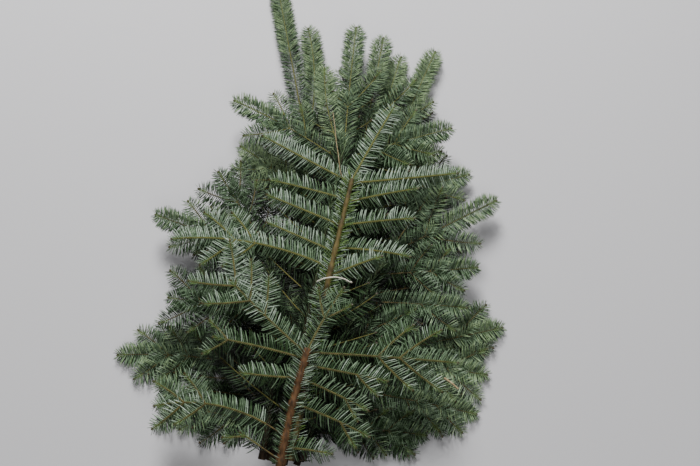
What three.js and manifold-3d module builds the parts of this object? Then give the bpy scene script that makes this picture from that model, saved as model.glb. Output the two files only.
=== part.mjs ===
// A tied bunch of ten cut boughs of blue noble fir, lying on its back.
// Millimetres, +Z up. The butts point along -Y and the tips along +Y. Headings are degrees
// from +Y towards +X. Every bough is a flat spray, and the boughs lie on each other in layers.

import * as THREE from 'three';
import { mergeVertices } from 'three/addons/utils/BufferGeometryUtils.js';
import Module from 'manifold-3d';

const wasm = await Module();
wasm.setup();

// The heap of boughs: layer 1 lies on the ground, layer 8 on top, thinner towards the rim
const heap = {
  middleX: -40,
  middleY: -60,
  reach: 520,
  lowestLayer: 16,
  layerPitch: 18,
  rimDrop: 0.38,
  furthestShare: 1.15,
};
const straight = 1e-6;

// Seeds of the chance in side shoots and needles, and the two numbers of the dice
const seeds = { bough: 1000, spray: 37, needles: 101 };
const diceFactor = 16807;
const diceSpan = 2147483647;

// A shoot: a twig between two rows of needles that hang a little below it. Its teeth stand
// toothPitch apart, and both of its ends are endShare as thick as the rest.
const shoot = {
  sides: 4,
  halfWidth: 22,
  notchShare: 0.45,
  toothPitch: 29,
  needleSweep: 9,
  sideTwigShare: 0.8,
  endShare: 0.25,
  rootHalfWidth: 2.5,
  tipHalfWidth: 3,
  rootTaper: 26,
  tipTaper: 22,
  widthSpread: 0.08,
};

// The two front boughs show the flat undersides of their shoots, the others are brushes
const frontLayer = 7;
const frontBlade = { top: 4.5, bottom: 5.5, droop: 8 };
const backBlade = { top: 10, bottom: 9, droop: 3 };

// Side shoots stand on a spray in pairs, the first pair where its last year's growth begins
const fan = {
  spacing: 36,
  angle: 44,
  widen: 6,
  shorten: 0.08,
  turn: 10,
  angleSpread: 5,
  lengthSpread: 0.07,
};

// What keeps the solids apart, and how finely a bough's way down is tried
const clear = { seat: 0.3, needles: 1, limb: 0.8, twig: 13, shortestTwig: 34 };
const limbSides = 8;
const limbStep = 50;
const lookStep = 8;
const settleStep = 1.5;
const settleHalvings = 5;

// The closed string round the stems that reach the crown
const tie = {
  y: -91,
  thickness: 2.6,
  sides: 6,
  stepsRound: 20,
  stems: ['front_upper', 'crown_middle', 'crown_back', 'crown_right', 'crown_left'],
};

// A bough's stem runs from its cut, and its sprays leave it at a share of its length.
// sprays: [name, share, side, angle, length, turn, side shoots, their length, last growth]
// tip: [lean, length, turn, side shoots, their length, last growth]
const boughs = [
  {
    name: 'front_lower', layer: 8, cut: [-114, -400], heading: 9, length: 200, turn: 8,
    radius: [8, 7],
    sprays: [
      ['left_1', 0.95, -1, 66, 180, 6, 5, 80, 12],
      ['left_2', 0.91, -1, 90, 158, -6, 2, 46, 24],
      ['left_3', 0.75, -1, 104, 98, 8, 0, 0, 0],
      ['left_4', 0.26, -1, 64, 232, -48, 4, 66, 50],
      ['left_5', 0.07, -1, 66, 80, 0, 2, 36, 8],
      ['right_1', 0.965, 1, 76, 250, 2, 4, 84, 96],
      ['right_2', 0.86, 1, 84, 140, 2, 2, 46, 50],
      ['right_3', 0.75, 1, 98, 122, 4, 2, 46, 40],
      ['right_4', 0.54, 1, 96, 134, 8, 2, 46, 50],
      ['right_5', 0.18, 1, 84, 78, 6, 0, 0, 0],
    ],
    tip: [8, 116, 10, 2, 50, 60],
  },
  {
    name: 'front_upper', layer: 7, cut: [-98, -385], heading: 11, length: 492, turn: 2,
    radius: [7.5, 4.5],
    sprays: [
      ['left_1', 0.985, -1, 74, 184, 2, 0, 0, 0],
      ['left_2', 0.92, -1, 86, 142, -3, 0, 0, 0],
      ['left_3', 0.82, -1, 79, 142, 0, 0, 0, 0],
      ['left_4', 0.72, -1, 78, 128, 0, 0, 0, 0],
      ['left_5', 0.66, -1, 76, 288, -30, 4, 76, 112],
      ['right_1', 0.985, 1, 72, 190, -3, 0, 0, 0],
      ['right_2', 0.91, 1, 63, 128, 4, 0, 0, 0],
      ['right_3', 0.82, 1, 69, 128, 4, 0, 0, 0],
      ['right_4', 0.735, 1, 78, 128, 12, 0, 0, 0],
      ['right_5', 0.63, 1, 52, 96, 8, 0, 0, 0],
    ],
    tip: [14, 162, 2, 0, 0, 0],
  },
  {
    name: 'crown_middle', layer: 6, cut: [-118, -388], heading: 11, length: 564, turn: 0,
    radius: [7, 4],
    sprays: [
      ['left_1', 0.972, -1, 34, 184, 24, 0, 0, 0],
      ['left_2', 0.95, -1, 64, 236, -10, 3, 80, 120],
      ['right_1', 0.955, 1, 60, 212, 2, 3, 76, 110],
    ],
    tip: [-7, 258, 2, 2, 96, 176],
  },
  {
    name: 'crown_right', layer: 3, cut: [-85, -388], heading: 11, length: 538, turn: 9.5,
    radius: [7, 4],
    sprays: [
      ['left_1', 0.955, -1, 19, 272, 18, 0, 0, 0],
      ['right_1', 0.9, 1, 55, 186, 0, 4, 76, 90],
    ],
    tip: [1, 278, 2, 1, 66, 156],
  },
  {
    name: 'crown_back', layer: 4, cut: [-112, -392], heading: 12, length: 585, turn: 3,
    radius: [7, 4],
    sprays: [['right_1', 0.93, 1, 64, 158, 0, 4, 70, 80]],
    tip: [-5, 234, 0, 2, 130, 190],
  },
  {
    name: 'crown_left', layer: 2, cut: [-138, -386], heading: 15, length: 604, turn: -20,
    radius: [7, 4],
    sprays: [
      ['left_1', 0.78, -1, 44, 164, -12, 4, 70, 74],
      ['right_1', 0.96, 1, 18, 248, -27, 0, 0, 0],
    ],
    tip: [-5.6, 320.5, 0, 0, 0, 0],
  },
  {
    name: 'left_upper', layer: 5, cut: [-148, -384], heading: 12, length: 366, turn: -24,
    radius: [6.5, 4],
    sprays: [
      ['left_1', 0.97, -1, 61, 218, 4, 4, 76, 110],
      ['left_2', 0.66, -1, 74, 190, -4, 6, 82, 60],
      ['right_1', 0.5, 1, 30, 112, 0, 2, 60, 56],
    ],
    tip: [-22, 170, 2, 4, 76, 70],
  },
  {
    name: 'right_upper', layer: 5, cut: [-80, -386], heading: 14, length: 400, turn: 18,
    radius: [6.5, 4],
    sprays: [
      ['right_1', 0.962, 1, 31, 226, 0, 2, 104, 150],
      ['right_2', 0.86, 1, 58, 180, -4, 4, 72, 84],
      ['right_3', 0.72, 1, 64, 184, 4, 4, 70, 80],
      ['right_4', 0.52, 1, 42, 140, 0, 4, 56, 60],
    ],
    tip: [2, 126, 2, 2, 60, 70],
  },
  {
    name: 'left_lower', layer: 1, cut: [-128, -392], heading: 0, length: 190, turn: -45,
    radius: [6, 4],
    sprays: [['left_1', 0.35, -1, 62, 198, -4, 4, 58, 50]],
    tip: [-34, 214.3, -14, 5, 68, 90],
  },
  {
    name: 'right_lower', layer: 1, cut: [-92, -394], heading: 20, length: 258, turn: 40,
    radius: [6, 4],
    sprays: [
      ['right_1', 0.9, 1, 40, 194, 4, 4, 80, 70],
      ['right_2', 0.6, 1, 55, 234, 4, 4, 66, 70],
      ['right_3', 0.3, 1, 62, 190, 4, 4, 56, 66],
    ],
    tip: [18, 206, 0, 3, 80, 84],
  },
];

// A small seeded random source, so that the same bunch grows each time
class Dice {
  constructor(seed) {
    this.state = seed;
  }

  spread(range) {
    this.state = (this.state * diceFactor) % diceSpan;
    return (this.state / diceSpan * 2 - 1) * range;
  }
}

const toRadians = THREE.MathUtils.degToRad;

function layerHeight(layer, x, y) {
  const out = Math.hypot(x - heap.middleX, y - heap.middleY) / heap.reach;
  const sag = 1 - heap.rimDrop * Math.min(out, heap.furthestShare) ** 2;
  return (heap.lowestLayer + heap.layerPitch * (layer - 1)) * sag;
}

// A line that curves evenly in plan and rides on its layer. Needles stand on it from bareRoot
// on, and sunk is how far their blade goes back into the limb, to be cut off at its bark.
class Axis {
  constructor(start, heading, length, turn, layer) {
    Object.assign(this, { start, heading, length, turn, layer });
    this.bareRoot = 0;
    this.sunk = 0;
  }

  headingAt(along) {
    return this.heading + this.turn * along / this.length;
  }

  planAt(along) {
    const bend = toRadians(this.turn) * along / this.length;
    const chord = Math.abs(bend) > straight ? along * Math.sin(bend / 2) / (bend / 2) : along;
    const way = toRadians(this.heading) + bend / 2;
    return [this.start[0] + chord * Math.sin(way), this.start[1] + chord * Math.cos(way)];
  }

  pointAt(along, across, up) {
    const [x, y] = this.planAt(along);
    const way = toRadians(this.headingAt(along));
    const px = x + across * Math.cos(way);
    const py = y - across * Math.sin(way);
    return new THREE.Vector3(px, py, layerHeight(this.layer, px, py) + up);
  }

  look() {
    const steps = Math.ceil(this.length / lookStep);
    const points = [];
    for (let step = 0; step <= steps; step += 1) {
      points.push(this.planAt(this.bareRoot + (this.length - this.bareRoot) * step / steps));
    }
    return points;
  }
}

function radiusAt(bough, share) {
  return THREE.MathUtils.lerp(bough.radius[0], bough.radius[1], share);
}

function nearest(x, y, points) {
  let best = Infinity;
  for (const [px, py] of points) best = Math.min(best, Math.hypot(x - px, y - py));
  return best;
}

// Growth of one spray: its main shoot, then the side shoots in pairs
function growSpray(name, axis, count, length, lastGrowth, dice) {
  const main = { spray: name, axis, parent: null };
  const shoots = [main];
  for (let number = 0; number < count; number += 1) {
    const side = number % 2 ? -1 : 1;
    const rank = Math.floor(number / 2);
    const along = axis.length - lastGrowth - fan.spacing * rank;
    const angle = fan.angle + fan.widen * rank + dice.spread(fan.angleSpread);
    const reach = length * (1 - fan.shorten * rank) * (1 + dice.spread(fan.lengthSpread));
    const heading = axis.headingAt(along) + side * angle;
    const twig = new Axis(axis.planAt(along), heading, reach, -side * fan.turn, axis.layer);
    shoots.push({ spray: name, axis: twig, parent: main });
  }
  return shoots;
}

function growBough(bough, number) {
  const limb = new Axis(bough.cut, bough.heading, bough.length, bough.turn, bough.layer);
  const shoots = [];
  bough.sprays.forEach(([name, share, side, angle, length, turn, count, reach, lastGrowth], index) => {
    const along = share * limb.length;
    const heading = limb.headingAt(along) + side * angle;
    const axis = new Axis(limb.planAt(along), heading, length, turn, bough.layer);
    const lean = toRadians(angle);
    const corner = shoot.rootHalfWidth * Math.abs(Math.cos(lean));
    axis.bareRoot = (radiusAt(bough, share) + corner) / Math.sin(lean);
    axis.sunk = axis.bareRoot;
    const dice = new Dice(seeds.bough * (number + 1) + seeds.spray * (index + 1));
    const spray = `${bough.name}_spray_${name}`;
    shoots.push(...growSpray(spray, axis, count, reach, lastGrowth, dice));
  });
  const [lean, length, turn, count, reach, lastGrowth] = bough.tip;
  const heading = limb.headingAt(limb.length) + lean;
  const axis = new Axis(limb.planAt(limb.length), heading, length, turn, bough.layer);
  axis.sunk = shoot.rootHalfWidth;
  const dice = new Dice(seeds.bough * (number + 1));
  shoots.push(...growSpray(`${bough.name}_spray_tip`, axis, count, reach, lastGrowth, dice));
  return { bough, limb, shoots };
}

// A side shoot ends where it would come too near to another spray or a limb, or is skipped
function keepRoom(shoots, limbs) {
  const kept = shoots.filter((one) => !one.parent);
  for (const one of shoots.filter((each) => each.parent)) {
    const others = kept.filter((each) => each.spray !== one.spray && each.axis.layer === one.axis.layer);
    const limbsHere = limbs.filter((limb) => limb.layer === one.axis.layer);
    const twigPoints = others.flatMap((each) => each.axis.look());
    const points = [...twigPoints, ...limbsHere.flatMap((limb) => limb.points)];
    let along = 0;
    while (along < one.axis.length) {
      const [x, y] = one.axis.planAt(along + lookStep);
      if (nearest(x, y, points) < clear.twig) break;
      along += lookStep;
    }
    if (along >= clear.shortestTwig) {
      one.axis.turn *= Math.min(1, along / one.axis.length);
      one.axis.length = Math.min(one.axis.length, along);
      kept.push(one);
    }
  }
  return kept;
}

function movedVertices(geometry, place) {
  geometry.deleteAttribute('normal');
  geometry.deleteAttribute('uv');
  const merged = mergeVertices(geometry);
  const position = merged.attributes.position;
  for (let index = 0; index < position.count; index += 1) {
    const point = place(position.getX(index), position.getY(index), position.getZ(index));
    position.setXYZ(index, point.x, point.y, point.z);
  }
  return merged;
}

function asManifold(geometry) {
  return new wasm.Manifold(new wasm.Mesh({
    numProp: 3,
    vertProperties: Float32Array.from(geometry.attributes.position.array),
    triVerts: Uint32Array.from(geometry.index.array),
  }));
}

function asGeometry(manifold) {
  const mesh = manifold.getMesh();
  const geometry = new THREE.BufferGeometry();
  geometry.setAttribute('position', new THREE.BufferAttribute(Float32Array.from(mesh.vertProperties), 3));
  geometry.setIndex(new THREE.BufferAttribute(Uint32Array.from(mesh.triVerts), 1));
  return geometry;
}

function joined(geometries) {
  return asGeometry(wasm.Manifold.union(geometries.map(asManifold)));
}

// The stem: a tapering limb with flat cut ends, or the room round it that sprays keep clear of
function limbGeometry(bough, limb, room = 0) {
  const steps = Math.ceil(limb.length / limbStep);
  const cylinder = new THREE.CylinderGeometry(1, 1, 1, limbSides, steps);
  return movedVertices(cylinder, (x, y, z) => {
    const radius = radiusAt(bough, y + 0.5) + room / Math.cos(Math.PI / limbSides);
    const along = limb.length / 2 + y * (limb.length + 2 * room);
    return limb.pointAt(along, x * radius, z * radius);
  });
}

// How far a needle tip can stand out and still be nearer to its own twig than to any other
function roomFor(one, along, side, wanted, others, limbs) {
  let halfWidth = wanted;
  while (halfWidth > shoot.tipHalfWidth) {
    const sweep = shoot.needleSweep * halfWidth / shoot.halfWidth;
    const tip = one.axis.pointAt(along + sweep, side * halfWidth, 0);
    const free = others.every((points) => nearest(tip.x, tip.y, points) > halfWidth + clear.needles);
    const off = limbs.every((limb) => nearest(tip.x, tip.y, limb.points) > limb.radius + clear.limb);
    if (free && off) break;
    halfWidth -= 1;
  }
  return halfWidth;
}

// A shoot's needles as one toothed blade, each tooth a tuft of needles
function shootGeometry(one, others, limbs, dice) {
  const length = one.axis.length - one.axis.bareRoot;
  const steps = 2 * Math.max(2, Math.round(length / shoot.toothPitch));
  const rings = [];
  for (let step = 0; step <= steps; step += 1) {
    const fromRoot = length * step / steps;
    const along = one.axis.bareRoot + fromRoot;
    const tooth = step % 2 ? 1 : shoot.notchShare;
    const rise = Math.min(1, (fromRoot + shoot.rootHalfWidth) / shoot.rootTaper);
    const fall = Math.sqrt(Math.min(1, (1 - step / steps) * length / shoot.tipTaper));
    const spread = 1 + dice.spread(shoot.widthSpread);
    const wanted = Math.max(shoot.tipHalfWidth, shoot.halfWidth * tooth * rise * fall * spread);
    rings.push({
      along: step ? along : along - one.axis.sunk,
      left: step ? roomFor(one, along, -1, wanted, others, limbs) : shoot.rootHalfWidth,
      right: step ? roomFor(one, along, 1, wanted, others, limbs) : shoot.rootHalfWidth,
    });
  }
  const girth = one.parent ? shoot.sideTwigShare : 1;
  const { top, bottom, droop } = one.axis.layer < frontLayer ? backBlade : frontBlade;
  const blade = new THREE.CylinderGeometry(1, 1, 1, shoot.sides, steps);
  return movedVertices(blade, (x, y, z) => {
    const step = Math.round((y + 0.5) * steps);
    const ring = rings[step];
    const across = x < -0.5 ? -ring.left : x > 0.5 ? ring.right : 0;
    const reach = Math.abs(across) / shoot.halfWidth;
    const full = step === 0 || step === steps ? shoot.endShare : 1;
    const spine = (z > 0.5 ? top : z < -0.5 ? -bottom : 0) * girth * full;
    return one.axis.pointAt(ring.along + shoot.needleSweep * reach, across, spine - droop * reach);
  });
}

// All shoots of a spray in one body, cut clear of the limb it grows from
function sprayGeometry(name, shoots, limbs, limbRoom) {
  const own = shoots.filter((one) => one.spray === name);
  const layer = own[0].axis.layer;
  const sameLayer = shoots.filter((one) => one.axis.layer === layer && one.spray !== name);
  const others = sameLayer.map((one) => one.axis.look());
  const limbsHere = limbs.filter((limb) => limb.layer === layer);
  const dice = new Dice(seeds.needles * name.length + layer);
  const blades = own.map((one) => asManifold(shootGeometry(one, others, limbsHere, dice)));
  return asGeometry(wasm.Manifold.union(blades).subtract(limbRoom));
}

// How far a bough sinks from its layer until it rests on the boughs below or on the ground
function restingDrop(solid, below) {
  solid.computeBoundingBox();
  const toGround = solid.boundingBox.min.z;
  if (!below.length) return toGround;
  const pile = wasm.Manifold.union(below);
  const touches = (drop) => !asManifold(solid.clone().translate(0, 0, -drop)).intersect(pile).isEmpty();
  let free = 0;
  let hit = settleStep;
  while (free < toGround && !touches(hit)) {
    free = hit;
    hit = Math.min(free + settleStep, toGround + clear.seat);
  }
  if (free >= toGround) return toGround;
  for (let halving = 0; halving < settleHalvings; halving += 1) {
    const drop = (free + hit) / 2;
    if (touches(drop)) hit = drop;
    else free = drop;
  }
  return free - clear.seat;
}

const bark = new THREE.MeshStandardMaterial({ color: 0x7b5a3c, roughness: 0.85, metalness: 0 });
const string = new THREE.MeshStandardMaterial({ color: 0xdcdccf, roughness: 0.8, metalness: 0 });
const frontNeedles = new THREE.MeshStandardMaterial({ color: 0x8fa39a, roughness: 0.6, metalness: 0 });
const backNeedles = new THREE.MeshStandardMaterial({ color: 0x5f7d66, roughness: 0.6, metalness: 0 });

function named(geometry, material, name) {
  const mesh = new THREE.Mesh(geometry, material);
  mesh.name = name;
  return mesh;
}

// A bough's stem and sprays, sunk onto the pile
function boughGroup({ bough, limb, shoots }, kept, limbs, below) {
  const group = new THREE.Group();
  group.add(named(limbGeometry(bough, limb), bark, `${bough.name}_stem`));
  const limbRoom = asManifold(limbGeometry(bough, limb, clear.seat));
  const needles = bough.layer < frontLayer ? backNeedles : frontNeedles;
  for (const name of new Set(shoots.map((one) => one.spray))) {
    group.add(named(sprayGeometry(name, kept, limbs, limbRoom), needles, name));
  }
  const solid = joined(group.children.map((mesh) => mesh.geometry));
  const drop = restingDrop(solid, below);
  group.position.z = -drop;
  below.push(asManifold(solid.translate(0, 0, -drop)));
  return group;
}

// Points round a stem where it passes the string, as far off as the middle of the string lies
function pointsRound({ bough, limb }, drop) {
  let along = 0;
  while (limb.planAt(along)[1] < tie.y) along += 1;
  const centre = limb.pointAt(along, 0, -drop);
  const radius = radiusAt(bough, along / limb.length) + clear.seat + tie.thickness / 2;
  const points = [];
  for (let step = 0; step < tie.stepsRound; step += 1) {
    const angle = 2 * Math.PI * step / tie.stepsRound;
    const x = centre.x + radius * Math.cos(angle);
    const z = centre.z + radius * Math.sin(angle);
    points.push(new THREE.Vector3(x, tie.y, z));
  }
  return points;
}

function turnsLeft(one, two, three) {
  return (two.x - one.x) * (three.z - one.z) > (two.z - one.z) * (three.x - one.x);
}

function outerSide(points) {
  const line = [];
  for (const point of points) {
    while (line.length > 1 && !turnsLeft(line.at(-2), line.at(-1), point)) line.pop();
    line.push(point);
  }
  return line.slice(0, -1);
}

// The string's way, pulled tight round the outermost stems
class TightLoop extends THREE.Curve {
  constructor(points) {
    super();
    const sorted = [...points].sort((one, other) => one.x - other.x || one.z - other.z);
    this.corners = [...outerSide(sorted), ...outerSide(sorted.reverse())];
  }

  getPointAt(share, target = new THREE.Vector3()) {
    const count = this.corners.length;
    const place = share * count;
    const from = Math.floor(place);
    return target.lerpVectors(this.corners[from % count], this.corners[(from + 1) % count], place - from);
  }

  getTangentAt(share, target = new THREE.Vector3()) {
    const step = 0.5 / this.corners.length;
    const before = this.getPointAt((share + 1 - step) % 1);
    return target.subVectors(this.getPointAt((share + step) % 1), before).normalize();
  }
}

function tieGeometry(points) {
  const loop = new TightLoop(points);
  const tube = new THREE.TubeGeometry(loop, loop.corners.length, tie.thickness / 2, tie.sides, true);
  return movedVertices(tube, (x, y, z) => new THREE.Vector3(x, y, z));
}

const grown = boughs.map(growBough);
const limbs = grown.map(({ bough, limb }) => ({
  layer: bough.layer,
  points: limb.look(),
  radius: bough.radius[0],
}));
const kept = keepRoom(grown.flatMap((each) => each.shoots), limbs);

const group = new THREE.Group();
const below = [];
const drops = {};
for (const each of [...grown].sort((one, other) => one.bough.layer - other.bough.layer)) {
  const sunk = boughGroup(each, kept, limbs, below);
  drops[each.bough.name] = -sunk.position.z;
  group.add(sunk);
}
const tied = grown.filter(({ bough }) => tie.stems.includes(bough.name));
const tiedPoints = tied.flatMap((each) => pointsRound(each, drops[each.bough.name]));
group.add(named(tieGeometry(tiedPoints), string, 'string_tie'));

// The bunch lies on the ground with its middle over the origin
const box = new THREE.Box3().setFromObject(group);
const middle = box.getCenter(new THREE.Vector3());
group.position.set(-middle.x, -middle.y, -box.min.z);

export default group;
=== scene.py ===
import math

import bmesh
import bpy
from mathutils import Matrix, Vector


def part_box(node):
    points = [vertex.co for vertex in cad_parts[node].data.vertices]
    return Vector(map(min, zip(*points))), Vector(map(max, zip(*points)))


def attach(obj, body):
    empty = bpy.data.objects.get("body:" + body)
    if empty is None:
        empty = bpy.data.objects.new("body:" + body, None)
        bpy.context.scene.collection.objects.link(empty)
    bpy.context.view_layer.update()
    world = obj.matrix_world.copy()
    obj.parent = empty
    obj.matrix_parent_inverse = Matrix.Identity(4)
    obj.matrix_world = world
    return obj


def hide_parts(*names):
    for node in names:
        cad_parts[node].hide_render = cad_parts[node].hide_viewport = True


# A tied bunch of ten cut blue noble fir boughs, lying on its back. The growth rule below is the
# same as the solids' rule, in millimetres, and everything made from it is in metres.
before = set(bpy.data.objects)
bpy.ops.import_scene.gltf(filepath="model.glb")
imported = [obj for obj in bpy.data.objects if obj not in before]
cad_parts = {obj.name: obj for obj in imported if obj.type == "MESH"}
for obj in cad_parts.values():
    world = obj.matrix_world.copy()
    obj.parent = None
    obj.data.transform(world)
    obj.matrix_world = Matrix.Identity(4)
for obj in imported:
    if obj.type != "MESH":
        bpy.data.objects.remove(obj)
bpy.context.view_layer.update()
mm = 0.001

# The heap of boughs: layer 1 lies on the ground, layer 8 on top, thinner towards the rim
heap = {
    "middle": (-40, -60),
    "reach": 520,
    "lowestLayer": 16,
    "layerPitch": 18,
    "rimDrop": 0.38,
    "furthestShare": 1.15,
    "frontLayer": 7,       # from here up the shoots lie with their flat undersides up
}

# Side shoots stand in pairs, the first pair where the last year's growth begins
fan = {
    "spacing": 36,
    "angle": 44,
    "widen": 6,
    "shorten": 0.08,
    "turn": 10,
    "angleSpread": 5,
    "lengthSpread": 0.07,
    "nearest": 13,         # a side shoot ends this far from another spray
    "shortest": 34,
    "lookStep": 8,
}
seeds = {"bough": 1000, "spray": 37, "filling": 53, "looks": 7, "needles": 7919}
diceFactor = 16807
diceSpan = 2147483647
straight = 1e-6            # a bend smaller than this counts as none

# sprays: name, share, side, angle, length, turn, side shoots, their length, last growth
# tip: lean, length, turn, side shoots, their length, last growth
boughs = [
    {"name": "front_lower", "layer": 8, "cut": (-114, -400), "heading": 9, "length": 200, "turn": 8,
     "radius": (8, 7), "sprays": [
         ("left_1", 0.95, -1, 66, 180, 6, 5, 80, 12),
         ("left_2", 0.91, -1, 90, 158, -6, 2, 46, 24),
         ("left_3", 0.75, -1, 104, 98, 8, 0, 0, 0),
         ("left_4", 0.26, -1, 64, 232, -48, 4, 66, 50),
         ("left_5", 0.07, -1, 66, 80, 0, 2, 36, 8),
         ("right_1", 0.965, 1, 76, 250, 2, 4, 84, 96),
         ("right_2", 0.86, 1, 84, 140, 2, 2, 46, 50),
         ("right_3", 0.75, 1, 98, 122, 4, 2, 46, 40),
         ("right_4", 0.54, 1, 96, 134, 8, 2, 46, 50),
         ("right_5", 0.18, 1, 84, 78, 6, 0, 0, 0)],
     "tip": (8, 116, 10, 2, 50, 60)},
    {"name": "front_upper", "layer": 7, "cut": (-98, -385), "heading": 11, "length": 492, "turn": 2,
     "radius": (7.5, 4.5), "sprays": [
         ("left_1", 0.985, -1, 74, 184, 2, 0, 0, 0),
         ("left_2", 0.92, -1, 86, 142, -3, 0, 0, 0),
         ("left_3", 0.82, -1, 79, 142, 0, 0, 0, 0),
         ("left_4", 0.72, -1, 78, 128, 0, 0, 0, 0),
         ("left_5", 0.66, -1, 76, 288, -30, 4, 76, 112),
         ("right_1", 0.985, 1, 72, 190, -3, 0, 0, 0),
         ("right_2", 0.91, 1, 63, 128, 4, 0, 0, 0),
         ("right_3", 0.82, 1, 69, 128, 4, 0, 0, 0),
         ("right_4", 0.735, 1, 78, 128, 12, 0, 0, 0),
         ("right_5", 0.63, 1, 52, 96, 8, 0, 0, 0)],
     "tip": (14, 162, 2, 0, 0, 0)},
    {"name": "crown_middle", "layer": 6, "cut": (-118, -388), "heading": 11, "length": 564, "turn": 0,
     "radius": (7, 4), "sprays": [
         ("left_1", 0.972, -1, 34, 184, 24, 0, 0, 0),
         ("left_2", 0.95, -1, 64, 236, -10, 3, 80, 120),
         ("right_1", 0.955, 1, 60, 212, 2, 3, 76, 110)],
     "tip": (-7, 258, 2, 2, 96, 176)},
    {"name": "crown_right", "layer": 3, "cut": (-85, -388), "heading": 11, "length": 538, "turn": 9.5,
     "radius": (7, 4), "sprays": [
         ("left_1", 0.955, -1, 19, 272, 18, 0, 0, 0),
         ("right_1", 0.9, 1, 55, 186, 0, 4, 76, 90)],
     "tip": (1, 278, 2, 1, 66, 156)},
    {"name": "crown_back", "layer": 4, "cut": (-112, -392), "heading": 12, "length": 585, "turn": 3,
     "radius": (7, 4), "sprays": [("right_1", 0.93, 1, 64, 158, 0, 4, 70, 80)],
     "tip": (-5, 234, 0, 2, 130, 190)},
    {"name": "crown_left", "layer": 2, "cut": (-138, -386), "heading": 15, "length": 604, "turn": -20,
     "radius": (7, 4), "sprays": [
         ("left_1", 0.78, -1, 44, 164, -12, 4, 70, 74),
         ("right_1", 0.96, 1, 18, 248, -27, 0, 0, 0)],
     "tip": (-5.6, 320.5, 0, 0, 0, 0)},
    {"name": "left_upper", "layer": 5, "cut": (-148, -384), "heading": 12, "length": 366, "turn": -24,
     "radius": (6.5, 4), "sprays": [
         ("left_1", 0.97, -1, 61, 218, 4, 4, 76, 110),
         ("left_2", 0.66, -1, 74, 190, -4, 6, 82, 60),
         ("right_1", 0.5, 1, 30, 112, 0, 2, 60, 56)],
     "tip": (-22, 170, 2, 4, 76, 70)},
    {"name": "right_upper", "layer": 5, "cut": (-80, -386), "heading": 14, "length": 400, "turn": 18,
     "radius": (6.5, 4), "sprays": [
         ("right_1", 0.962, 1, 31, 226, 0, 2, 104, 150),
         ("right_2", 0.86, 1, 58, 180, -4, 4, 72, 84),
         ("right_3", 0.72, 1, 64, 184, 4, 4, 70, 80),
         ("right_4", 0.52, 1, 42, 140, 0, 4, 56, 60)],
     "tip": (2, 126, 2, 2, 60, 70)},
    {"name": "left_lower", "layer": 1, "cut": (-128, -392), "heading": 0, "length": 190, "turn": -45,
     "radius": (6, 4), "sprays": [("left_1", 0.35, -1, 62, 198, -4, 4, 58, 50)],
     "tip": (-34, 214.3, -14, 5, 68, 90)},
    {"name": "right_lower", "layer": 1, "cut": (-92, -394), "heading": 20, "length": 258, "turn": 40,
     "radius": (6, 4), "sprays": [
         ("right_1", 0.9, 1, 40, 194, 4, 4, 80, 70),
         ("right_2", 0.6, 1, 55, 234, 4, 4, 66, 70),
         ("right_3", 0.3, 1, 62, 190, 4, 4, 56, 66)],
     "tip": (18, 206, 0, 3, 80, 84)},
]


# A small seeded random source, so that the same bunch grows each time
class Dice:
    def __init__(self, seed):
        self.state = seed

    def spread(self, size):
        self.state = self.state * diceFactor % diceSpan
        return (self.state / diceSpan * 2 - 1) * size


def layerHeight(layer, x, y):
    out = math.hypot(x - heap["middle"][0], y - heap["middle"][1]) / heap["reach"]
    sag = 1 - heap["rimDrop"] * min(out, heap["furthestShare"]) ** 2
    return (heap["lowestLayer"] + heap["layerPitch"] * (layer - 1)) * sag


# A line that curves evenly in plan and rides on its layer
class Axis:
    def __init__(self, start, heading, length, turn, layer):
        self.start = start
        self.heading = heading
        self.length = length
        self.turn = turn
        self.layer = layer
        self.rise = 0

    def headingAt(self, along):
        return self.heading + self.turn * along / self.length

    def planAt(self, along):
        bend = math.radians(self.turn) * along / self.length
        chord = along * math.sin(bend / 2) / (bend / 2) if abs(bend) > straight else along
        way = math.radians(self.heading) + bend / 2
        return self.start[0] + chord * math.sin(way), self.start[1] + chord * math.cos(way)

    def pointAt(self, along, across=0, up=0):
        x, y = self.planAt(along)
        way = math.radians(self.headingAt(along))
        x += across * math.cos(way)
        y -= across * math.sin(way)
        lift = self.rise * math.sin(math.pi * min(1, along / self.length))
        return Vector((x, y, layerHeight(self.layer, x, y) + lift + up))

    def look(self):
        steps = math.ceil(self.length / fan["lookStep"])
        return [self.planAt(self.length * step / steps) for step in range(steps + 1)]


def growSpray(name, axis, count, length, lastGrowth, dice):
    shoots = [{"spray": name, "axis": axis, "rank": 0}]
    for number in range(count):
        side = -1 if number % 2 else 1
        pair = number // 2
        along = axis.length - lastGrowth - fan["spacing"] * pair
        angle = fan["angle"] + fan["widen"] * pair + dice.spread(fan["angleSpread"])
        reach = length * (1 - fan["shorten"] * pair) * (1 + dice.spread(fan["lengthSpread"]))
        heading = axis.headingAt(along) + side * angle
        twig = Axis(axis.planAt(along), heading, reach, -side * fan["turn"], axis.layer)
        shoots.append({"spray": name, "axis": twig, "rank": 1})
    return shoots


def growBough(bough, number):
    limb = Axis(bough["cut"], bough["heading"], bough["length"], bough["turn"], bough["layer"])
    shoots = []
    for index, row in enumerate(bough["sprays"]):
        name, share, side, angle, length, turn, count, reach, lastGrowth = row
        along = share * limb.length
        axis = Axis(limb.planAt(along), limb.headingAt(along) + side * angle, length, turn, limb.layer)
        dice = Dice(seeds["bough"] * (number + 1) + seeds["spray"] * (index + 1))
        shoots += growSpray(f"{bough['name']}_spray_{name}", axis, count, reach, lastGrowth, dice)
    lean, length, turn, count, reach, lastGrowth = bough["tip"]
    heading = limb.headingAt(limb.length) + lean
    axis = Axis(limb.planAt(limb.length), heading, length, turn, limb.layer)
    dice = Dice(seeds["bough"] * (number + 1))
    shoots += growSpray(f"{bough['name']}_spray_tip", axis, count, reach, lastGrowth, dice)
    return {"bough": bough, "limb": limb, "shoots": shoots}


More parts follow.
